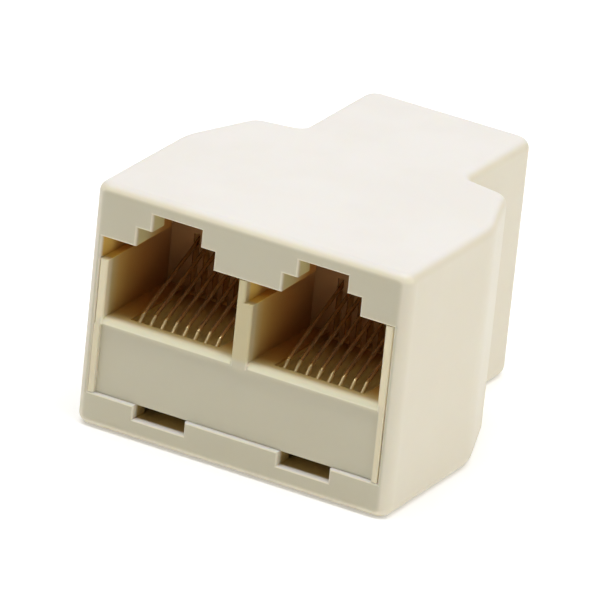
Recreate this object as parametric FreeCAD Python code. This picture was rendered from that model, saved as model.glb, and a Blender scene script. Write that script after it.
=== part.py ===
"""Two-way eight-contact modular splitter adapter, millimetres, +Z up.

One moulded housing holds a twin jack insert at its wide end, a single jack insert
in its neck and a small upright circuit board between them. Eight formed contacts
stand in each of the three sockets and end in the board.
The origin is at the bottom centre of the housing. The two sockets face -Y.
"""
import FreeCAD, Part
import math
import os

Vec = FreeCAD.Vector

# Housing, outer form
body_width = 28.8
height = 21.0
overall_depth = 33.0
neck_width = 15.5
shoulder_margin = 1.8
shoulder_length = 6.9
shoulder_inset = 2.6
shoulder_back_slope = 0.8
front_corner_radius = 1.2
shoulder_start_radius = 6.0
shoulder_corner_radius = 1.6
neck_root_radius = 0.8
neck_corner_radius = 1.4
edge_radius = 0.9

# Housing, walls
side_wall = 1.05
floor_thickness = 1.2
ceiling_thickness = 1.4
mouth_wall = 2.0

# Socket mouths: the rim below, and the stepped key-way from the ceiling down
rim_height = 3.0
wide_key_half_width = 3.57
wide_key_rise = 1.6
narrow_key_half_width = 2.25
narrow_key_rise = 1.5
key_rail_depth = 5.7
key_rib_thickness = 1.0
ledge_thickness = 1.1

# Latch windows in the rim below each socket, and the catches behind them
window_half_width = 2.36
window_sill_height = 1.8
catch_depth = 3.3
mouth_edge_radius = 0.22

# Jack inserts: depths run inwards from the mouth of the socket
fit_gap = 0.03
face_setback = 0.05
panel_inset = 0.5
panel_setback = 0.4
lip_setback = 0.15
lip_height = 0.6
lip_radius = 0.4
deck_height = 9.6
cheek_thickness = 0.74
neck_cheek_thickness = 0.76
short_cheek_drop = 1.9
cheek_edge_radius = 0.22
panel_thickness = 1.4
comb_wall_thickness = 2.0
core_web = 1.05
skirt_thickness = 1.1
tongue_width = 3.8
tongue_thickness = 1.2
tongue_lead_in = 0.5

# Contact comb
contact_count = 8
contact_pitch = 1.016
contact_width = 0.36
contact_thickness = 0.3
groove_width = 0.55
groove_depth = 1.65
recess_depth = 0.6
recess_step = 0.2
recess_margin = 0.35
comb_slot_depth = 1.4
slot_head_room = 0.47

# Contacts: the run in the groove, the bend under the shelf and the spring arm
bend_radius = 0.8
bend_front_depth = 1.3
rise_angle = 45.0
rise_end_depth = 2.6
arm_tip_gap = 0.7
arm_head_room = 2.57
tail_length = 0.6
front_tail_drops = (0.0, 2.5)
rear_tail_drops = (1.25, 3.75)

# Circuit board, and the tabs of the inserts that carry it
board_thickness = 1.2
front_board_gap = 1.8
rear_board_gap = 5.6
board_side_gap = 0.75
tail_gap = 0.08
tab_width = 1.4
tab_height = 2.4
tab_shoulder = 0.4
tab_inset = 1.4
tab_gap = 0.05
tab_length = 0.4

# Drawing aids: how far a cut starts outside its piece, and how close counts as on a plane
overshoot = 1.0
near = 0.01

# Depths that follow from the sizes above
insert_depth = (overall_depth - board_thickness - front_board_gap - rear_board_gap) / 2
board_front_depth = insert_depth + front_board_gap
board_back_depth = board_front_depth + board_thickness
rear_board_depth = overall_depth - board_back_depth
comb_wall_start = insert_depth - comb_wall_thickness
arm_end_depth = comb_wall_start + comb_slot_depth - arm_tip_gap
shoulder_start_depth = insert_depth + shoulder_margin
shoulder_corner_depth = shoulder_start_depth + shoulder_length
neck_root_depth = shoulder_corner_depth + shoulder_back_slope

# Heights that follow, from the ceiling down to the grooves
ceiling_height = height - ceiling_thickness
wide_key_height = ceiling_height - narrow_key_rise
ledge_height = wide_key_height - wide_key_rise
short_cheek_height = ledge_height - short_cheek_drop
board_top = ledge_height - fit_gap
arm_end_height = ledge_height - arm_head_room
recess_floor_height = deck_height - recess_depth
groove_floor_height = recess_floor_height - groove_depth
core_height = groove_floor_height - core_web
wire_height = groove_floor_height + contact_thickness / 2
tab_centre_height = (wire_height + board_top) / 2

# Widths that follow: two sockets fill the body's inside, one fills the neck's
body_inner_half = body_width / 2 - side_wall
neck_inner_half = neck_width / 2 - side_wall
front_socket_half = body_inner_half / 2 - cheek_thickness
rear_socket_half = neck_inner_half - neck_cheek_thickness
socket_offset = cheek_thickness + front_socket_half
front_centres = (-socket_offset, socket_offset)
rear_centres = (0.0,)


def box(x0, x1, y0, y1, z0, z1):
    """A box between two corners."""
    return Part.makeBox(x1 - x0, y1 - y0, z1 - z0, Vec(x0, y0, z0))


def side_profile(points, x0, x1):
    """A solid with the closed outline (depth, height) between two places along X."""
    corners = [Vec(x0, depth, z) for depth, z in points]
    face = Part.Face(Part.makePolygon(corners + corners[:1]))
    return face.extrude(Vec(x1 - x0, 0, 0))


def fuse(shapes):
    """One solid from shapes that touch or overlap."""
    return shapes[0].multiFuse(shapes[1:]).removeSplitter()


def at_front(shape):
    """A shape drawn inwards from the wide end, moved to its place."""
    moved = shape.copy()
    moved.translate(Vec(0, -overall_depth / 2, 0))
    return moved


def at_rear(shape):
    """A shape drawn inwards from the neck's end, turned round and moved to its place."""
    moved = shape.copy()
    moved.rotate(Vec(0, 0, 0), Vec(0, 0, 1), 180)
    moved.translate(Vec(0, overall_depth / 2, 0))
    return moved


def contact_places(centre):
    """The places along X of the contacts of one socket."""
    first = centre - contact_pitch * (contact_count - 1) / 2
    return [first + contact_pitch * index for index in range(contact_count)]


def housing_outline():
    """The plan of the housing, sharp-cornered: wide body, sloping shoulders and neck."""
    half = body_width / 2
    corner = half - shoulder_inset
    neck = neck_width / 2
    right = [(half, 0), (half, shoulder_start_depth), (corner, shoulder_corner_depth)]
    right += [(neck, neck_root_depth), (neck, overall_depth)]
    left = [(-x, depth) for x, depth in reversed(right)]
    points = [Vec(x, depth, 0) for x, depth in right + left]
    return Part.makePolygon(points + points[:1])


def upright_edges(solid, depth):
    """The upright straight edges of a solid at one depth."""
    found = []
    for edge in solid.Edges:
        bounds = edge.BoundBox
        upright = bounds.ZLength > height / 2 and bounds.XLength < near
        if upright and abs(bounds.YMin - depth) < near and bounds.YLength < near:
            found.append(edge)
    return found


def perimeter_edges(solid):
    """The edges round the top and the underside."""
    found = []
    for edge in solid.Edges:
        bounds = edge.BoundBox
        level = bounds.ZLength < near
        if level and (abs(bounds.ZMin) < near or abs(bounds.ZMax - height) < near):
            found.append(edge)
    return found


def housing_body():
    """The solid outer form with its moulded roundings."""
    solid = Part.Face(housing_outline()).extrude(Vec(0, 0, height))
    roundings = [(0.0, front_corner_radius), (shoulder_start_depth, shoulder_start_radius)]
    roundings += [(shoulder_corner_depth, shoulder_corner_radius), (neck_root_depth, neck_root_radius)]
    roundings += [(overall_depth, neck_corner_radius)]
    for depth, radius in roundings:
        solid = solid.makeFillet(radius, upright_edges(solid, depth))
    return solid.makeFillet(edge_radius, perimeter_edges(solid))


def housing_hollow():
    """The space inside the walls, from one mouth wall to the other."""
    inner = housing_outline().makeOffset2D(-side_wall)
    space = Part.Face(inner).extrude(Vec(0, 0, ceiling_height - floor_thickness))
    space.translate(Vec(0, 0, floor_thickness))
    half = body_width / 2
    between_mouths = box(-half, half, mouth_wall, overall_depth - mouth_wall, 0, height)
    return space.common(between_mouths)


def mouth_cut(centres, half_width):
    """What is cut from a mouth wall: the opening, stepped key-ways and latch windows."""
    outside = -overshoot
    cuts = [box(-half_width, half_width, outside, mouth_wall, rim_height, ledge_height)]
    steps = [(wide_key_half_width, ledge_height, wide_key_height)]
    steps += [(narrow_key_half_width, wide_key_height, ceiling_height)]
    steps += [(window_half_width, window_sill_height, rim_height)]
    for centre in centres:
        for half, low, high in steps:
            cuts.append(box(centre - half, centre + half, outside, mouth_wall, low, high))
    return fuse(cuts)


def key_rails(centres, half_width):
    """The ledge above a plug, with two upright ribs beside each key-way."""
    def rail(left, right, top):
        return box(left, right, mouth_wall, key_rail_depth, ledge_height, top)

    parts = [rail(-half_width, half_width, ledge_height + ledge_thickness)]
    channels = []
    for centre in centres:
        outer = wide_key_half_width + key_rib_thickness
        parts.append(rail(centre - outer, centre + outer, ceiling_height))
        channels.append(rail(centre - wide_key_half_width, centre + wide_key_half_width, ceiling_height))
    return fuse(parts).cut(channels)


def catches(centres):
    """The low steps behind the latch windows that hold the insert's tongues."""
    steps = []
    for centre in centres:
        left = centre - window_half_width
        right = centre + window_half_width
        steps.append(box(left, right, mouth_wall, catch_depth, floor_thickness, window_sill_height))
    return steps


def soften_mouth(solid, depth):
    """Round the edges of the openings in the mouth face at one depth."""
    found = []
    for edge in solid.Edges:
        bounds = edge.BoundBox
        on_face = abs(bounds.YMin - depth) < near and abs(bounds.YMax - depth) < near
        inside = bounds.ZMin > edge_radius + near and bounds.ZMax < height - edge_radius - near
        if on_face and inside:
            found.append(edge)
    return solid.makeFillet(mouth_edge_radius, found)


def make_housing():
    """The moulded housing, open at three socket mouths."""
    solid = housing_body().cut(housing_hollow())
    rear_shift = Vec(0, overall_depth, 0)

    def turned(shape):
        moved = shape.copy()
        moved.rotate(Vec(0, 0, 0), Vec(0, 0, 1), 180)
        moved.translate(rear_shift)
        return moved

    solid = solid.cut(mouth_cut(front_centres, body_inner_half))
    solid = solid.cut(turned(mouth_cut(rear_centres, neck_inner_half)))
    added = [key_rails(front_centres, body_inner_half), turned(key_rails(rear_centres, neck_inner_half))]
    added += catches(front_centres)
    added += [turned(step) for step in catches(rear_centres)]
    solid = fuse([solid] + added)
    solid = soften_mouth(solid, 0.0)
    solid = soften_mouth(solid, overall_depth)
    return at_front(solid)


def insert_block(half_width):
    """The insert's front panel, shelf and deck, hollow below like a moulded tray."""
    bottom = rim_height + fit_gap
    lip_bottom = deck_height - lip_height
    panel = half_width - panel_inset
    front = [(lip_setback, deck_height), (lip_setback, lip_bottom)]
    front += [(panel_setback, lip_bottom), (panel_setback, bottom)]
    front += [(mouth_wall, bottom), (mouth_wall, deck_height)]
    front_block = side_profile(front, -panel, panel)
    lip_edges = []
    for edge in front_block.Edges:
        bounds = edge.BoundBox
        on_lip = abs(bounds.YMin - lip_setback) < near and abs(bounds.YMax - lip_setback) < near
        on_top = abs(bounds.ZMin - deck_height) < near and abs(bounds.ZMax - deck_height) < near
        if on_lip and on_top:
            lip_edges.append(edge)
    front_block = front_block.makeFillet(lip_radius, lip_edges)
    deck = box(-half_width, half_width, mouth_wall, insert_depth, bottom, deck_height)
    return [front_block, deck]


def cheek_walls(centres, socket_half, outer):
    """The walls beside each plug: a short one on its left and one up to the ledge on its right."""
    foot = deck_height - lip_height
    bounds = [-outer] + middles(centres) + [outer]
    walls = []
    for place, middle in enumerate(bounds):
        pieces = []
        if place > 0:
            inner = centres[place - 1] + socket_half
            pieces.append(box(inner, middle, face_setback, insert_depth, foot, ledge_height - fit_gap))
        if place < len(centres):
            inner = centres[place] - socket_half
            pieces.append(box(middle, inner, face_setback, insert_depth, foot, short_cheek_height))
        wall = fuse(pieces) if len(pieces) > 1 else pieces[0]
        walls.append(soften_front(wall))
    return walls


def soften_front(wall):
    """Round the upright front edges of a wall between two sockets."""
    found = []
    for edge in wall.Edges:
        bounds = edge.BoundBox
        at_front_face = bounds.YMax < face_setback + near
        if at_front_face and bounds.XLength < near:
            found.append(edge)
    return wall.makeFillet(cheek_edge_radius, found)


def comb_walls(centres, socket_half):
    """The wall at the back of each socket, with a stepped top that closes the key-way."""
    steps = [(socket_half, ledge_height)]
    steps += [(wide_key_half_width - fit_gap, wide_key_height)]
    steps += [(narrow_key_half_width - fit_gap, ceiling_height)]
    walls = []
    for centre in centres:
        for half, top in steps:
            left = centre - half
            walls.append(box(left, centre + half, comb_wall_start, insert_depth, deck_height, top - fit_gap))
    return walls


def comb_cuts(centres):
    """The recess behind the shelf and the grooves and slots for the contacts."""
    cuts = []
    bend_face = bend_front_depth - contact_thickness / 2
    groove_start = bend_face - fit_gap
    slot_end = comb_wall_start + comb_slot_depth
    slot_top = arm_end_height + slot_head_room
    above = deck_height + overshoot
    beyond = insert_depth + overshoot
    within = comb_wall_start - overshoot
    for centre in centres:
        places = contact_places(centre)
        reach = groove_width / 2 + recess_margin
        left = places[0] - reach
        right = places[-1] + reach
        cuts.append(box(left, right, bend_face + recess_step, comb_wall_start, recess_floor_height, above))
        for x in places:
            low = x - groove_width / 2
            high = x + groove_width / 2
            cuts.append(box(low, high, groove_start, beyond, groove_floor_height, recess_floor_height))
            cuts.append(box(low, high, within, slot_end, recess_floor_height, slot_top))
    return cuts


def snap_tongues(centres):
    """The spring tongues that hang behind the latch windows."""
    front = catch_depth + fit_gap
    back = front + tongue_thickness
    tip = floor_thickness + fit_gap
    profile = [(front, core_height), (front, tip), (back - tongue_lead_in, tip)]
    profile += [(back, tip + tongue_lead_in), (back, core_height)]
    half = tongue_width / 2
    return [side_profile(profile, centre - half, centre + half) for centre in centres]


def middles(places):
    """The points halfway between neighbouring places."""
    return [(first + second) / 2 for first, second in zip(places, places[1:])]


def tab_places(half_width):
    """The places along X of the two board tabs of an insert."""
    offset = half_width - fit_gap - tab_inset
    return (-offset, offset)


def board_tabs(half_width, board_depth):
    """Shouldered tabs at the insert's back, which go through the circuit board."""
    found = []
    end = board_depth + board_thickness + tab_length
    for x in tab_places(half_width):
        for margin, reach in ((tab_shoulder, board_depth), (0.0, end)):
            across = tab_width / 2 + margin
            up = tab_height / 2 + margin
            low = tab_centre_height - up
            high = tab_centre_height + up
            found.append(box(x - across, x + across, insert_depth, reach, low, high))
    return found


def make_insert(centres, socket_half, half_width, board_depth):
    """A moulded jack insert with a comb, cheeks, snap tongues and board tabs."""
    outer = half_width - fit_gap
    bottom = rim_height + fit_gap
    core_from = panel_setback + panel_thickness
    core_to = insert_depth - panel_thickness
    bounds = [-outer] + middles(centres) + [outer]
    skirts = []
    cores = []
    for left, right in zip(bounds, bounds[1:]):
        first = left + (skirt_thickness if left == -outer else skirt_thickness / 2)
        last = right - (skirt_thickness if right == outer else skirt_thickness / 2)
        cores.append(box(first, last, core_from, core_to, bottom - overshoot, core_height))
        skirts.append(box(left, first, mouth_wall + fit_gap, insert_depth, floor_thickness, bottom))
        skirts.append(box(last, right, mouth_wall + fit_gap, insert_depth, floor_thickness, bottom))
    walls = cheek_walls(centres, socket_half, outer) + comb_walls(centres, socket_half)
    panel = outer - panel_inset
    top = deck_height - lip_height
    for low, high in ((-outer, -panel), (panel, outer)):
        walls.append(box(low, high, face_setback, mouth_wall, bottom, top))
    solid = fuse(insert_block(outer) + skirts + walls + board_tabs(half_width, board_depth))
    solid = solid.cut(cores + comb_cuts(centres))
    return fuse([solid] + snap_tongues(centres))


def strip_side(points, radii, offset):
    """One side of a bent strip, at an offset from its centre line: its edges and its two ends."""
    edges = []
    heading = (points[1] - points[0]).normalize()
    first_point = points[0] + Vec(-heading.y, heading.x, 0) * offset
    cursor = first_point
    for index, radius in enumerate(radii, start=1):
        before = (points[index] - points[index - 1]).normalize()
        after = (points[index + 1] - points[index]).normalize()
        left_before = Vec(-before.y, before.x, 0)
        left_after = Vec(-after.y, after.x, 0)
        if radius == 0:
            mitre = (left_before + left_after) * (offset / (1 + left_before.dot(left_after)))
            corner = points[index] + mitre
            edges.append(Part.LineSegment(cursor, corner).toShape())
            cursor = corner
            continue
        turn = math.atan2(before.x * after.y - before.y * after.x, before.dot(after))
        toward = 1 if turn > 0 else -1
        reach = radius * math.tan(abs(turn) / 2)
        centre = points[index] - before * reach + left_before * (toward * radius)
        bend = radius - toward * offset
        first = centre - left_before * (toward * bend)
        last = centre - left_after * (toward * bend)
        middle = centre + ((first - centre) + (last - centre)).normalize() * bend
        edges.append(Part.LineSegment(cursor, first).toShape())
        edges.append(Part.Arc(first, middle, last).toShape())
        cursor = last
    heading = (points[-1] - points[-2]).normalize()
    last_point = points[-1] + Vec(-heading.y, heading.x, 0) * offset
    edges.append(Part.LineSegment(cursor, last_point).toShape())
    return edges, first_point, last_point


def formed_strip(points, radii, thickness, x0, x1):
    """A strip bent along a centre line (depth, height) with a radius at each inner point."""
    flat = [Vec(depth, z, 0) for depth, z in points]
    left, left_start, left_end = strip_side(flat, radii, thickness / 2)
    right, right_start, right_end = strip_side(flat, radii, -thickness / 2)
    ends = [Part.LineSegment(left_end, right_end).toShape()]
    ends.append(Part.LineSegment(right_start, left_start).toShape())
    face = Part.Face(Part.Wire(Part.__sortEdges__(left + right + ends)))
    # The outline is drawn with depth along X and height along Y, so it is stood up here.
    face.rotate(Vec(0, 0, 0), Vec(1, 0, 0), 90)
    face.rotate(Vec(0, 0, 0), Vec(0, 0, 1), 90)
    face.translate(Vec(x0, 0, 0))
    return face.extrude(Vec(x1 - x0, 0, 0))


def make_contact(x, tail_drop, board_depth):
    """One contact: board tail, run in the groove, bend under the shelf and spring arm."""
    turn = math.radians(180 - rise_angle)
    corner = bend_front_depth + bend_radius - bend_radius * math.tan(turn / 2)
    rise_end_height = wire_height + (rise_end_depth - corner) * math.tan(math.radians(rise_angle))
    tail_end = board_depth + board_thickness + tail_length
    points = [(tail_end, wire_height - tail_drop)]
    radii = []
    if tail_drop > 0:
        quarter = (board_depth - insert_depth) / 4
        points += [(board_depth - quarter, wire_height - tail_drop), (insert_depth + quarter, wire_height)]
        radii += [0, 0]
    points += [(corner, wire_height), (rise_end_depth, rise_end_height), (arm_end_depth, arm_end_height)]
    radii += [bend_radius, 0]
    half = contact_width / 2
    return formed_strip(points, radii, contact_thickness, x - half, x + half)


def make_board():
    """The upright circuit board with slots for the contact tails and the tabs."""
    half = body_inner_half - board_side_gap
    board = box(-half, half, board_front_depth, board_back_depth, floor_thickness, board_top)
    slots = []
    tail_across = contact_width / 2 + tail_gap
    tail_up = contact_thickness / 2 + tail_gap
    sets = [(front_centres, front_tail_drops, 1), (rear_centres, rear_tail_drops, -1)]
    for centres, drops, side in sets:
        for centre in centres:
            for index, x in enumerate(contact_places(centre)):
                slots.append((side * x, wire_height - drops[index % 2], tail_across, tail_up))
    for half_width in (body_inner_half, neck_inner_half):
        for x in tab_places(half_width):
            slots.append((x, tab_centre_height, tab_width / 2 + tab_gap, tab_height / 2 + tab_gap))
    start = board_front_depth - overshoot
    stop = board_back_depth + overshoot
    cuts = [box(x - across, x + across, start, stop, z - up, z + up) for x, z, across, up in slots]
    return at_front(board.cut(cuts))


def contact_set(name, centre, tail_drops, place, board_depth):
    """The eight contacts of one socket, named by their place."""
    found = {}
    for index, x in enumerate(contact_places(centre)):
        shape = make_contact(x, tail_drops[index % 2], board_depth)
        found[f"{name}_contact_{index + 1}"] = place(shape)
    return found


def build():
    """Every piece of the adapter by its name."""
    parts = {"housing": make_housing()}
    front = make_insert(front_centres, front_socket_half, body_inner_half, board_front_depth)
    parts["front_insert"] = at_front(front)
    rear = make_insert(rear_centres, rear_socket_half, neck_inner_half, rear_board_depth)
    parts["rear_insert"] = at_rear(rear)
    parts["link_board"] = make_board()
    for side, centre in zip(("left", "right"), front_centres):
        name = f"front_{side}"
        parts.update(contact_set(name, centre, front_tail_drops, at_front, board_front_depth))
    parts.update(contact_set("rear", 0.0, rear_tail_drops, at_rear, rear_board_depth))
    return parts


def main():
    os.makedirs("parts", exist_ok=True)
    for name, shape in build().items():
        if len(shape.Solids) != 1 or not shape.isValid():
            raise ValueError(f"{name} is not one valid solid")
        shape.Solids[0].exportStep(f"parts/{name}.step")
        print(f"{name}: {shape.Volume:.1f} cubic mm")


main()
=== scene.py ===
"""Looks of the modular splitter adapter: moulded cream plastic, gilt wires, soft studio light.

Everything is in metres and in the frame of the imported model. The two sockets face -Y.
A depth is measured inwards from the mouth of a socket.
"""

import math

import bpy
from mathutils import Matrix, Vector


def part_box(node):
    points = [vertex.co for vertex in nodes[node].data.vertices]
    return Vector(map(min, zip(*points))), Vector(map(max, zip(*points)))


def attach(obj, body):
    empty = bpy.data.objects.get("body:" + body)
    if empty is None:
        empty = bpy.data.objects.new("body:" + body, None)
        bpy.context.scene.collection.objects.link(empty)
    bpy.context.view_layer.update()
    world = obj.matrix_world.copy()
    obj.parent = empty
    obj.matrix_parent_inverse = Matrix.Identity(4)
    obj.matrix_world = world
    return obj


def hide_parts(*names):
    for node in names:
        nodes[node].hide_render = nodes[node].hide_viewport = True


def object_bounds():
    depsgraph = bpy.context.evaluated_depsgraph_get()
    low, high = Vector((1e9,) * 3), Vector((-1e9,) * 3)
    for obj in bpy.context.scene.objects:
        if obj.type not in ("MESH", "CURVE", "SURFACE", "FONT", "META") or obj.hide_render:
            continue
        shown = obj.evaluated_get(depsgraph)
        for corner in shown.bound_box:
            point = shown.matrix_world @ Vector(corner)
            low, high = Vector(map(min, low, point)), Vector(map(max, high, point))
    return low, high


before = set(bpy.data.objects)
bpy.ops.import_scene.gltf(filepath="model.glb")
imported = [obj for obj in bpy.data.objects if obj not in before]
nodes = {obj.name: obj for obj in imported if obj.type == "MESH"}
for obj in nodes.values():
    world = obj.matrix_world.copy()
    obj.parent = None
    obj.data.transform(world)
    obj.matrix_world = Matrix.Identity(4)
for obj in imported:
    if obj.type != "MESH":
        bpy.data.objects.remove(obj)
cad_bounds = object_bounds()
scene = bpy.context.scene
MM = 0.001
WHITE = (1.0, 1.0, 1.0, 1.0)


def linear(red, green, blue):
    """An sRGB colour as opaque linear light."""
    light = [c / 12.92 if c <= 0.04045 else ((c + 0.055) / 1.055) ** 2.4 for c in (red, green, blue)]
    return (*light, 1.0)


# Places that the materials and wires share with the solids
HALF_DEPTH = cad_bounds[1][1]
FLOOR_THICKNESS = 1.2 * MM
SHELF = 9.6 * MM
LIP_HEIGHT = 0.6 * MM
LEDGE = 16.5 * MM
CEILING = 19.6 * MM
BODY_INNER_HALF = 13.35 * MM
NECK_INNER_HALF = 6.7 * MM

# Route of a contact's centre line, as depth and height
WIRE_WIDTH = 0.36 * MM
WIRE_THICKNESS = 0.30 * MM
WIRE_HEIGHT = 7.5 * MM
INSERT_DEPTH = 12.2 * MM
BEND_CORNER = (0.169 * MM, WIRE_HEIGHT)
BEND_RADIUS = 0.8 * MM
RISE_END = (2.6 * MM, 9.931 * MM)
RISE_RADIUS = 1.2 * MM
ARM_END = (10.9 * MM, 13.93 * MM)
NOSE_LENGTH = 0.06 * MM
NOSE_SIZE = 0.6
TAIL_RADIUS = 0.3 * MM
BOARD_AND_TAIL = 1.8 * MM
WIRE_SIDES = 14
BEND_STEPS = 12

# Closed floor over the grooves that the wires run in
CONTACT_PITCH = 1.016 * MM
CONTACT_COUNT = 8
COVER_WIDTH = 0.54 * MM
COVER_TOP = 8.99 * MM
COVER_THICKNESS = 0.55 * MM
COVER_START = 2.05 * MM
COVER_END = 11.6 * MM
COVER_ROUNDING = 0.25 * MM
ROUNDING_STEPS = 5

# Colours of the outside: all round; on top, whiter as painted light; on edges between top and front,
# lighter as a painted highlight; in front, darker as painted shade; in faint spots
CREAM = linear(0.905, 0.872, 0.785)
CREAM_TOP_PAINTED_LIGHT = (0.824, 0.792, 0.746, 1.0)
CREAM_EDGE_PAINTED_HIGHLIGHT = linear(0.940, 0.910, 0.812)
CREAM_FRONT_PAINTED_SHADE = linear(0.817, 0.790, 0.690)
CREAM_SPOT = linear(0.77, 0.70, 0.56)

# Colours of an insert's face: its lip, lighter as a painted highlight; its outer posts and side margins,
# lighter as painted light; its divider, a darker yellower cream
CREAM_LIP_PAINTED_HIGHLIGHT = linear(0.955, 0.935, 0.815)
CREAM_POST_PAINTED_LIGHT = linear(0.950, 0.893, 0.752)
CREAM_DIVIDER = linear(0.830, 0.775, 0.605)

# Colours inside, a painted shade: amber darkening to brown from the mouth inwards as shares of the depth,
# and painted tones at places of their own
INSIDE_PAINTED_SHADE = [
    (0.00, linear(0.88, 0.83, 0.67)),
    (0.06, linear(0.84, 0.75, 0.51)),
    (0.16, linear(0.83, 0.67, 0.37)),
    (0.30, linear(0.79, 0.60, 0.30)),
    (0.55, linear(0.75, 0.53, 0.26)),
    (0.90, linear(0.70, 0.50, 0.27)),
    (1.00, linear(0.68, 0.50, 0.30)),
]
BELOW_SHELF = linear(0.97, 0.88, 0.58)
NOTCH = linear(0.95, 0.83, 0.45)
KEY_STEPS = linear(0.85, 0.81, 0.61)
COMB_SLOTS = linear(0.92, 0.74, 0.46)
WINDOWS = linear(0.76, 0.66, 0.42)

# Height just over the short cheeks. The notch is the gap from there up to the ledge
UPPER = 14.62 * MM

# Places of the painted shade and painted tones inside. A pair says where a colour starts to show and where
# it is full
SHARP = 0.1 * MM
INSIDE_START = 0.5 * MM
INSIDE_DEPTH = 10.0 * MM
UPPER_HEIGHTS = (UPPER, UPPER + SHARP)
UPPER_LIFT = 0.9 * MM
BELOW_SHELF_HEIGHTS = (SHELF - SHARP, SHELF - 0.3 * MM)
BELOW_SHELF_DEPTHS = (10.5 * MM, 5.5 * MM)
NOTCH_BOTTOM = (UPPER - SHARP, UPPER)
NOTCH_TOP = (LEDGE, LEDGE - SHARP)
NOTCH_DEPTHS = (3.0 * MM, 1.6 * MM)
KEY_STEPS_HEIGHTS = (LEDGE, LEDGE + SHARP)
KEY_STEPS_DEPTHS = (4.5 * MM, 1.0 * MM)
COMB_SLOTS_DEPTHS = (10.3 * MM, 10.4 * MM)
WINDOWS_HEIGHTS = (3.4 * MM, 3.2 * MM)

# Place along Y, a little before the shoulders, where the housing's painted amber shade turns as narrow as
# the neck
BODY_END = -3.0 * MM

# Depths at which cream gives way to the painted amber shade: on an insert, and on the rim below and above
# UPPER
FACE_DEPTHS = (0.5 * MM, 1.0 * MM)
RIM_DEPTH_BELOW = 0.45 * MM
RIM_DEPTH_ABOVE = 0.15 * MM
RIM_BLEND = 0.4 * MM

# Places of the painted light on an insert's face, and of the seam beside its panel, which stays cream, free
# of the painted shade
SEAM_SIDES = (12.7 * MM, 12.8 * MM)
SEAM_DEPTHS = (3.0 * MM, 2.0 * MM)
POST_HEIGHTS = (SHELF - 0.3 * MM, SHELF + 0.3 * MM)
DIVIDER_SIDES = (2.5 * MM, 1.5 * MM)
LIP_HEIGHTS = (SHELF - LIP_HEIGHT, SHELF - LIP_HEIGHT + 0.15 * MM)
LIP_INNER_SIDES = (0.65 * MM, 0.95 * MM)
LIP_OUTER_SIDES = (12.9 * MM, 12.6 * MM)
MARGIN_SIDES = (12.75 * MM, 12.95 * MM)
MARGIN_SHARE = 0.75

# Parts of a face's normal at which the painted light on top, the painted highlight on edges and the painted
# shade in front start to show and are full
TOP_TURN = (0.55, 0.98)
FRONT_TURN = (-0.85, -0.995)
EDGE_FRONT_TURN = (-0.1, -0.4)
EDGE_TOP_TURN = (0.1, 0.4)

# Noise patterns, each as scale, detail and roughness
CLOUDS = (120.0, 4.0, 0.55)
GRAIN = (9000.0, 2.0, 0.6)
WAVES = (260.0, 2.0, 0.5)
STAINS = (900.0, 4.0, 0.6)
LAMINATE_CLOUDS = (300.0, 3.0, 0.5)
FLOOR_CLOUDS = (3.0, 2.0, 0.5)

# Skin of the plastic. A bump is its strength and its distance
CLOUD_RANGE = (0.35, 0.65)
CLOUD_SHARE = 0.06
GRAIN_RANGE = (0.2, 0.8)
GRAIN_ROUGHNESS = (0.38, 0.50)
GRAIN_SHARE = 0.25
SKIN_BUMP = (0.12, 0.04 * MM)
PLASTIC_IOR = 1.5
SUBSURFACE_SHARE = 0.25
SUBSURFACE_RADIUS = (1.0, 0.7, 0.35)
SUBSURFACE_SCALE = 0.8 * MM

# Gilding of the contacts: painted light at the bend, painted shade on the arm behind it and darker painted
# shade far up the arm
GILT_BEND_PAINTED_LIGHT = linear(1.0, 0.91, 0.68)
GILT_ARM_PAINTED_SHADE = linear(0.88, 0.80, 0.66)
GILT_FAR_PAINTED_SHADE = linear(0.73, 0.61, 0.43)
GILT_ARM_DEPTHS = (1.2 * MM, 3.6 * MM)
GILT_FAR_DEPTHS = (4.0 * MM, 8.0 * MM)
GILT_METALLIC = 0.85
GILT_ROUGHNESS = (0.32, 0.22)
STAIN_SHARE = 0.08
STAIN_RANGE = (0.3, 0.7)
STAIN_ROUGHNESS = 0.03

# Laminate of the board
LAMINATE_COLOURS = (linear(0.30, 0.22, 0.10), linear(0.38, 0.29, 0.14))
LAMINATE_ROUGHNESS = 0.55
WEAVE_SCALE = 2500.0
WEAVE_BUMP = (0.1, 0.02 * MM)

# Studio. A light has its name, place, size and power
MIDDLE = (0.0, 0.0, 0.010)
WORLD = 0.20
LIGHTS = [
    ("overhead", (0.0, 0.16, 0.70), (0.9, 0.50), 1.92),
    ("strip", (0.02, -0.10, 0.62), (0.8, 0.16), 2.6),
    ("backdrop", (-0.30, 0.60, 0.28), (0.9, 0.5), 0.8),
    ("right_side", (0.66, 0.14, 0.24), (0.45, 0.4), 0.56),
]
FLOOR_HALF = 3.0
FLOOR_COLOURS = ((0.93, 0.93, 0.93, 1.0), (0.96, 0.96, 0.96, 1.0))
FLOOR_ROUGHNESS = 0.7
FLOOR_SPECULAR = 0.2
FLOOR_GLOW = 0.21

# Camera, fitted to the edges of the housing in the photograph: azimuth, elevation and roll in degrees
CAMERA_ANGLES = (27.3644, 22.9834, 5.9641)
CAMERA_DISTANCE = 0.729428
FOCAL_PIXELS = 9163.387
AIM_PIXEL = (227.0952, 471.6812)
FRAME_PIXELS = 612.0
SENSOR_WIDTH = 36.0
CLIP_RANGE = (0.01, 20.0)


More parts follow.
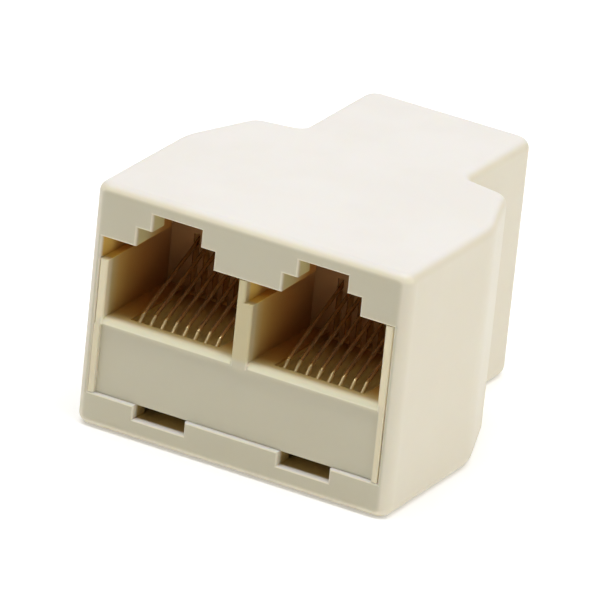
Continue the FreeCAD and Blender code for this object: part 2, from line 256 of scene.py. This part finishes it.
class Shader:
    """A small helper that adds and links nodes in one material."""

    def __init__(self, name):
        self.material = bpy.data.materials.new(name)
        self.material.use_nodes = True
        self.tree = self.material.node_tree

    def add(self, kind, **values):
        node = self.tree.nodes.new(kind)
        for key, value in values.items():
            setattr(node, key, value)
        return node

    def put(self, socket, value):
        """Link a socket to another one, or set it to a plain value."""
        if isinstance(value, bpy.types.NodeSocket):
            self.tree.links.new(value, socket)
        else:
            socket.default_value = value

    def surface(self, name, value):
        """Link or set one input of the surface itself."""
        self.put(self.tree.nodes["Principled BSDF"].inputs[name], value)

    def math(self, operation, first, second=0.0, clamp=False):
        node = self.add("ShaderNodeMath", operation=operation, use_clamp=clamp)
        self.put(node.inputs[0], first)
        self.put(node.inputs[1], second)
        return node.outputs[0]

    def product(self, *values):
        result = values[0]
        for value in values[1:]:
            result = self.math("MULTIPLY", result, value)
        return result

    def ramp(self, value, low, high, to_low=0.0, to_high=1.0):
        """A smooth change from to_low at low to to_high at high."""
        node = self.add("ShaderNodeMapRange", clamp=True, interpolation_type="SMOOTHSTEP")
        self.put(node.inputs["Value"], value)
        self.put(node.inputs["From Min"], low)
        self.put(node.inputs["From Max"], high)
        self.put(node.inputs["To Min"], to_low)
        self.put(node.inputs["To Max"], to_high)
        return node.outputs["Result"]

    def mix(self, factor, first, second):
        node = self.add("ShaderNodeMix", data_type="RGBA", clamp_factor=True)
        self.put(node.inputs[0], factor)
        self.put(node.inputs[6], first)
        self.put(node.inputs[7], second)
        return node.outputs[2]

    def place(self):
        return self.add("ShaderNodeTexCoord").outputs["Object"]

    def normal(self):
        return self.split(self.add("ShaderNodeNewGeometry").outputs["Normal"])

    def split(self, vector):
        node = self.add("ShaderNodeSeparateXYZ")
        self.put(node.inputs[0], vector)
        return node.outputs

    def noise(self, vector, scale, detail, roughness):
        node = self.add("ShaderNodeTexNoise")
        self.put(node.inputs["Vector"], vector)
        node.inputs["Scale"].default_value = scale
        node.inputs["Detail"].default_value = detail
        node.inputs["Roughness"].default_value = roughness
        return node.outputs["Fac"]

    def bump(self, height, strength, distance):
        node = self.add("ShaderNodeBump")
        node.inputs["Strength"].default_value = strength
        node.inputs["Distance"].default_value = distance
        self.put(node.inputs["Height"], height)
        return node.outputs["Normal"]

    def colours(self, value, stops):
        node = self.add("ShaderNodeValToRGB")
        self.put(node.inputs[0], value)
        elements = node.color_ramp.elements
        while len(elements) < len(stops):
            elements.new(0.5)
        for element, (place, colour) in zip(elements, stops):
            element.position = place
            element.color = colour
        return node.outputs["Color"]


def depth_of(shader, y):
    """The depth behind the nearer mouth face."""
    return shader.math("SUBTRACT", HALF_DEPTH, shader.math("ABSOLUTE", y))


def inside_painted_shade(shader, depth, z):
    """The painted amber shade inside a socket, darker with depth: sooner above UPPER, paler low down."""
    # Painted shade: amber that darkens from the mouth inwards, with painted tones of their own below the
    # shelf, in the notch, on the key steps, in the comb slots and in the windows
    lift = shader.ramp(z, *UPPER_HEIGHTS, 0.0, UPPER_LIFT)
    inward = shader.math("SUBTRACT", shader.math("ADD", depth, lift), INSIDE_START)
    amber = shader.colours(shader.math("DIVIDE", inward, INSIDE_DEPTH, clamp=True), INSIDE_PAINTED_SHADE)
    low = shader.product(shader.ramp(z, *BELOW_SHELF_HEIGHTS), shader.ramp(depth, *BELOW_SHELF_DEPTHS))
    amber = shader.mix(low, amber, BELOW_SHELF)
    amber = shader.mix(shader.ramp(z, *WINDOWS_HEIGHTS), amber, WINDOWS)
    notch = shader.product(shader.ramp(z, *NOTCH_BOTTOM), shader.ramp(z, *NOTCH_TOP))
    notch = shader.product(notch, shader.ramp(depth, *NOTCH_DEPTHS))
    amber = shader.mix(notch, amber, NOTCH)
    steps = shader.product(shader.ramp(z, *KEY_STEPS_HEIGHTS), shader.ramp(depth, *KEY_STEPS_DEPTHS))
    amber = shader.mix(steps, amber, KEY_STEPS)
    return shader.mix(shader.ramp(depth, *COMB_SLOTS_DEPTHS), amber, COMB_SLOTS)


def seam(shader, x, depth, z):
    """Where the panel meets the housing: light falls in, so the painted shade is left out and the plastic
    stays cream.
    """
    side = shader.ramp(shader.math("ABSOLUTE", x), *SEAM_SIDES)
    low = shader.ramp(z, *BELOW_SHELF_HEIGHTS)
    return shader.product(side, low, shader.ramp(depth, *SEAM_DEPTHS))


def outside_colour(shader, place):
    """Cream with faint clouds of the moulding, with painted light on top, painted shade in front and a
    painted highlight along the edge between.
    """
    cloud = shader.noise(place, *CLOUDS)
    normal = shader.normal()
    facing = shader.ramp(normal[1], *FRONT_TURN)
    upward = shader.ramp(normal[2], *TOP_TURN)
    edge = shader.product(shader.ramp(normal[1], *EDGE_FRONT_TURN), shader.ramp(normal[2], *EDGE_TOP_TURN))
    # Painted highlight on the edge, painted shade on front faces, painted light on top faces
    cream = shader.mix(edge, CREAM, CREAM_EDGE_PAINTED_HIGHLIGHT)
    cream = shader.mix(facing, cream, CREAM_FRONT_PAINTED_SHADE)
    cream = shader.mix(upward, cream, CREAM_TOP_PAINTED_LIGHT)
    return shader.mix(shader.ramp(cloud, *CLOUD_RANGE, 0.0, CLOUD_SHARE), cream, CREAM_SPOT)


def finish_plastic(shader, place):
    """The satin skin of moulded plastic, with a fine grain and soft light below it."""
    grain = shader.noise(place, *GRAIN)
    waves = shader.noise(place, *WAVES)
    shader.surface("Roughness", shader.ramp(grain, *GRAIN_RANGE, *GRAIN_ROUGHNESS))
    height = shader.math("ADD", shader.product(grain, GRAIN_SHARE), waves)
    shader.surface("Normal", shader.bump(height, *SKIN_BUMP))
    shader.surface("IOR", PLASTIC_IOR)
    shader.surface("Subsurface Weight", SUBSURFACE_SHARE)
    shader.surface("Subsurface Radius", SUBSURFACE_RADIUS)
    shader.surface("Subsurface Scale", SUBSURFACE_SCALE)


def housing_material():
    """Cream outside with painted light and shade by facing, painted amber shade on the walls of the hollow.
    """
    shader = Shader("housing_plastic")
    place = shader.place()
    x, y, z = shader.split(place)
    depth = depth_of(shader, y)
    limit = shader.ramp(y, BODY_END, BODY_END + SHARP, BODY_INNER_HALF, NECK_INNER_HALF)
    across = shader.math("LESS_THAN", shader.math("ABSOLUTE", x), shader.math("ADD", limit, SHARP))
    above = shader.math("GREATER_THAN", z, FLOOR_THICKNESS - SHARP)
    below = shader.math("LESS_THAN", z, CEILING + SHARP)
    start = shader.ramp(z, *UPPER_HEIGHTS, RIM_DEPTH_BELOW, RIM_DEPTH_ABOVE)
    behind = shader.ramp(depth, start, shader.math("ADD", start, RIM_BLEND))
    mask = shader.product(across, above, below, behind)
    mask = shader.product(mask, shader.math("SUBTRACT", 1.0, seam(shader, x, depth, z)))
    colour = shader.mix(mask, outside_colour(shader, place), inside_painted_shade(shader, depth, z))
    shader.surface("Base Color", colour)
    finish_plastic(shader, place)
    return shader.material


def lip_highlight_mask(shader, y, z, aside):
    """One on the painted highlight of the lip that runs along the top of the panel, in front only beside
    the divider.
    """
    clear = shader.ramp(aside, *LIP_INNER_SIDES)
    clear = shader.math("MAXIMUM", clear, shader.math("GREATER_THAN", y, 0.0))
    return shader.product(shader.ramp(z, *LIP_HEIGHTS), clear, shader.ramp(aside, *LIP_OUTER_SIDES))


def insert_material():
    """Cream on the panel, with painted light on the lips, posts and margins, and painted amber shade on the
    walls of the sockets.
    """
    shader = Shader("insert_plastic")
    place = shader.place()
    x, y, z = shader.split(place)
    depth = depth_of(shader, y)
    aside = shader.math("ABSOLUTE", x)
    # Painted light on the outer posts and side margins; a darker cream on the divider; a painted highlight
    # on the lip
    post = shader.mix(shader.ramp(aside, *DIVIDER_SIDES), CREAM_POST_PAINTED_LIGHT, CREAM_DIVIDER)
    margin = shader.product(shader.ramp(aside, *MARGIN_SIDES), MARGIN_SHARE)
    cream = shader.mix(lip_highlight_mask(shader, y, z, aside), outside_colour(shader, place), CREAM_LIP_PAINTED_HIGHLIGHT)
    cream = shader.mix(margin, cream, CREAM_POST_PAINTED_LIGHT)
    cream = shader.mix(shader.ramp(z, *POST_HEIGHTS), cream, post)
    mask = shader.ramp(depth, *FACE_DEPTHS)
    mask = shader.product(mask, shader.math("SUBTRACT", 1.0, seam(shader, x, depth, z)))
    shader.surface("Base Color", shader.mix(mask, cream, inside_painted_shade(shader, depth, z)))
    finish_plastic(shader, place)
    return shader.material


def gilt_material():
    """Thin gold plating on formed spring wire: painted light at the bend, painted shade along the arm, with
    faint stains.
    """
    shader = Shader("gilt_contact")
    place = shader.place()
    stain = shader.noise(place, *STAINS)
    depth = depth_of(shader, shader.split(place)[1])
    inner = shader.ramp(depth, *GILT_ARM_DEPTHS)
    # Painted shade that deepens along the arm, mixed with faint stains
    shade_and_stains = shader.math("ADD", shader.product(inner, 1 - STAIN_SHARE), shader.product(stain, STAIN_SHARE))
    colour = shader.mix(shade_and_stains, GILT_BEND_PAINTED_LIGHT, GILT_ARM_PAINTED_SHADE)
    colour = shader.mix(shader.ramp(depth, *GILT_FAR_DEPTHS), colour, GILT_FAR_PAINTED_SHADE)
    shader.surface("Base Color", colour)
    shader.surface("Metallic", GILT_METALLIC)
    polish = shader.ramp(inner, 0.0, 1.0, *GILT_ROUGHNESS)
    worn = shader.ramp(stain, *STAIN_RANGE, 0.0, STAIN_ROUGHNESS)
    shader.surface("Roughness", shader.math("ADD", polish, worn))
    return shader.material


def laminate_material():
    """Brown glass-fibre board with a faint weave."""
    shader = Shader("board_laminate")
    place = shader.place()
    weave = shader.add("ShaderNodeTexChecker")
    shader.put(weave.inputs["Vector"], place)
    weave.inputs["Scale"].default_value = WEAVE_SCALE
    cloud = shader.noise(place, *LAMINATE_CLOUDS)
    shader.surface("Base Color", shader.mix(cloud, *LAMINATE_COLOURS))
    shader.surface("Roughness", LAMINATE_ROUGHNESS)
    shader.surface("Normal", shader.bump(weave.outputs["Fac"], *WEAVE_BUMP))
    return shader.material


def floor_material():
    """Plain pale and matt, with a faint glow of its own."""
    shader = Shader("pale_floor")
    cloud = shader.noise(shader.place(), *FLOOR_CLOUDS)
    shader.surface("Base Color", shader.mix(cloud, *FLOOR_COLOURS))
    shader.surface("Roughness", FLOOR_ROUGHNESS)
    shader.surface("Specular IOR Level", FLOOR_SPECULAR)
    shader.surface("Emission Color", WHITE)
    shader.surface("Emission Strength", FLOOR_GLOW)
    return shader.material


def dress(name, material):
    """Give a CAD node its finished material."""
    materials = nodes[name].data.materials
    materials.clear()
    materials.append(material)


def add_mesh(name, points, faces, material):
    """A new object of one material in the scene."""
    mesh = bpy.data.meshes.new(name)
    mesh.from_pydata(points, [], faces)
    mesh.materials.append(material)
    made = bpy.data.objects.new(name, mesh)
    scene.collection.objects.link(made)
    return made


def place_of(depth, rear):
    """The Y of a depth in the rear socket or in a front one."""
    return HALF_DEPTH - depth if rear else depth - HALF_DEPTH


def arc_points(before, corner, after, radius):
    """Points along the arc that rounds one corner of a flat route."""
    before, corner, after = Vector(before), Vector(corner), Vector(after)
    back = (before - corner).normalized()
    ahead = (after - corner).normalized()
    half = back.angle(ahead) / 2
    centre = corner + (back + ahead).normalized() * (radius / math.sin(half))
    start = corner + back * (radius / math.tan(half)) - centre
    end = corner + ahead * (radius / math.tan(half)) - centre
    turn = start.angle(end)
    found = []
    for step in range(BEND_STEPS + 1):
        share = step / BEND_STEPS
        first = math.sin((1 - share) * turn) / math.sin(turn)
        second = math.sin(share * turn) / math.sin(turn)
        found.append(centre + start * first + end * second)
    return found


def wire_route(tail_end, tail_drop):
    """The centre line of a contact: tail, run in the groove, bend and spring arm."""
    low = WIRE_HEIGHT - tail_drop
    corners = [(tail_end, low)]
    radii = []
    if tail_drop > WIRE_THICKNESS:
        board = tail_end - BOARD_AND_TAIL
        quarter = (board - INSERT_DEPTH) / 4
        corners += [(board - quarter, low), (INSERT_DEPTH + quarter, WIRE_HEIGHT)]
        radii += [TAIL_RADIUS, TAIL_RADIUS]
    corners += [BEND_CORNER, RISE_END, ARM_END]
    radii += [BEND_RADIUS, RISE_RADIUS]
    route = [Vector(corners[0])]
    for index, radius in enumerate(radii, start=1):
        route += arc_points(corners[index - 1], corners[index], corners[index + 1], radius)
    route.append(Vector(corners[-1]))
    return route


def ring(centre, along, x, size, rear):
    """One closed ring of points round a place of a flat route."""
    across = Vector((-along.y, along.x))
    found = []
    for side in range(WIRE_SIDES):
        angle = 2 * math.pi * side / WIRE_SIDES
        flat = centre + across * (math.sin(angle) * size * WIRE_THICKNESS / 2)
        found.append((x + math.cos(angle) * size * WIRE_WIDTH / 2, place_of(flat.x, rear), flat.y))
    return found


def wire_points(route, x, rear):
    """The rings of a whole wire, with a smaller one that rounds its nose."""
    found = []
    for index, centre in enumerate(route):
        before = route[max(index - 1, 0)]
        after = route[min(index + 1, len(route) - 1)]
        found += ring(centre, (after - before).normalized(), x, 1.0, rear)
    nose = (route[-1] - route[-2]).normalized()
    return found + ring(route[-1] + nose * NOSE_LENGTH, nose, x, NOSE_SIZE, rear)


def wire_faces(rows, rear):
    """The quads between the rings and a cap at each end, facing outwards."""
    faces = []
    for row in range(rows - 1):
        for side in range(WIRE_SIDES):
            following = (side + 1) % WIRE_SIDES
            near, far = row * WIRE_SIDES, (row + 1) * WIRE_SIDES
            faces.append((near + side, near + following, far + following, far + side))
    first = tuple(range(WIRE_SIDES))
    last = tuple(range((rows - 1) * WIRE_SIDES, rows * WIRE_SIDES))
    faces += [first[::-1], last]
    return faces if rear else [face[::-1] for face in faces]


def make_wire(node, material):
    """The rounded wire that stands for one contact solid."""
    low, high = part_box(node)
    rear = node.startswith("rear")
    tail_end = HALF_DEPTH - low[1] if rear else high[1] + HALF_DEPTH
    route = wire_route(tail_end, WIRE_HEIGHT - WIRE_THICKNESS / 2 - low[2])
    points = wire_points(route, (low[0] + high[0]) / 2, rear)
    faces = wire_faces(len(points) // WIRE_SIDES, rear)
    wire = add_mesh(f"{node}_wire", points, faces, material)
    wire.data.polygons.foreach_set("use_smooth", [len(face) == 4 for face in faces])
    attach(wire, "root")
    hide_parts(node)


def cover_profile():
    """The outline of one groove cover, as depth and height, with a rounded nose."""
    low = COVER_TOP - COVER_THICKNESS
    outline = [(COVER_END, COVER_TOP), (COVER_END, low), (COVER_START, low)]
    for step in range(ROUNDING_STEPS + 1):
        angle = math.pi / 2 * step / ROUNDING_STEPS
        depth = COVER_START + COVER_ROUNDING * (1 - math.cos(angle))
        outline.append((depth, COVER_TOP - COVER_ROUNDING * (1 - math.sin(angle))))
    return outline


def cover_faces(base, count, rear):
    """The faces of one groove cover, whose two outlines start at the point with the number base."""
    faces = [tuple(range(base, base + count)), tuple(range(base + 2 * count - 1, base + count - 1, -1))]
    for side in range(count):
        following = (side + 1) % count
        faces.append((base + side, base + count + side, base + count + following, base + following))
    return [face[::-1] for face in faces] if rear else faces


def make_comb_floor(socket, material):
    """The closed floor of one socket: eight strips that lie over the wire grooves."""
    rear = socket == "rear"
    low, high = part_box(f"{socket}_contact_1")
    first = (low[0] + high[0]) / 2
    step = -CONTACT_PITCH if rear else CONTACT_PITCH
    profile = cover_profile()
    points = []
    faces = []
    for index in range(CONTACT_COUNT):
        centre = first + step * index
        faces += cover_faces(len(points), len(profile), rear)
        for x in (centre - COVER_WIDTH / 2, centre + COVER_WIDTH / 2):
            points += [(x, place_of(depth, rear), z) for depth, z in profile]
    piece = add_mesh(f"{socket}_comb_floor", points, faces, material)
    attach(piece, "root")


def make_floor():
    """A wide sheet to stand on."""
    half = FLOOR_HALF
    corners = [(-half, -half, 0), (half, -half, 0), (half, half, 0), (-half, half, 0)]
    floor = add_mesh("floor", corners, [(0, 1, 2, 3)], floor_material())


def softbox(name, place, size, power):
    """A soft rectangular studio light that faces the object."""
    data = bpy.data.lights.new(name, "AREA")
    data.shape = "RECTANGLE"
    data.size, data.size_y = size
    data.energy = power
    lamp = bpy.data.objects.new(name, data)
    lamp.location = place
    heading = Vector(MIDDLE) - Vector(place)
    lamp.rotation_euler = heading.to_track_quat("-Z", "Y").to_euler()
    scene.collection.objects.link(lamp)


def make_light():
    """The softboxes and a faint even sky."""
    for name, place, size, power in LIGHTS:
        softbox(name, place, size, power)
    world = bpy.data.worlds.new("studio")
    scene.world = world
    world.use_nodes = True
    sky = world.node_tree.nodes["Background"].inputs
    sky["Color"].default_value = WHITE
    sky["Strength"].default_value = WORLD
    scene.view_settings.view_transform = "Standard"


def make_camera():
    """The photograph's viewpoint: aimed by angles, with the target at a chosen pixel."""
    azimuth, elevation, roll = (math.radians(angle) for angle in CAMERA_ANGLES)
    target = Vector((0.0, -HALF_DEPTH, 0.0))
    level_back = Vector((math.sin(azimuth), -math.cos(azimuth), 0.0))
    back = level_back * math.cos(elevation) + Vector((0.0, 0.0, math.sin(elevation)))
    level = Vector((math.cos(azimuth), math.sin(azimuth), 0.0))
    upright = back.cross(level)
    right = math.cos(roll) * level + math.sin(roll) * upright
    up = -math.sin(roll) * level + math.cos(roll) * upright
    metres_per_pixel = CAMERA_DISTANCE / FOCAL_PIXELS
    across = (AIM_PIXEL[0] - FRAME_PIXELS / 2) * metres_per_pixel
    above = -(AIM_PIXEL[1] - FRAME_PIXELS / 2) * metres_per_pixel
    data = bpy.data.cameras.new("camera")
    data.sensor_width = SENSOR_WIDTH
    data.lens = FOCAL_PIXELS * SENSOR_WIDTH / FRAME_PIXELS
    data.clip_start, data.clip_end = CLIP_RANGE
    camera = bpy.data.objects.new("camera", data)
    turn = Matrix((right, up, back)).transposed().to_4x4()
    stand = target + back * CAMERA_DISTANCE - right * across - up * above
    camera.matrix_world = Matrix.Translation(stand) @ turn
    scene.collection.objects.link(camera)
    scene.camera = camera


dress("housing", housing_material())
plastic = insert_material()
dress("front_insert", plastic)
dress("rear_insert", plastic)
dress("link_board", laminate_material())
gilt = gilt_material()
for contact in sorted(name for name in nodes if "_contact_" in name):
    dress(contact, gilt)
    make_wire(contact, gilt)
for socket in ("front_left", "front_right", "rear"):
    make_comb_floor(socket, plastic)
make_floor()
make_light()
make_camera()

bpy.context.view_layer.update()
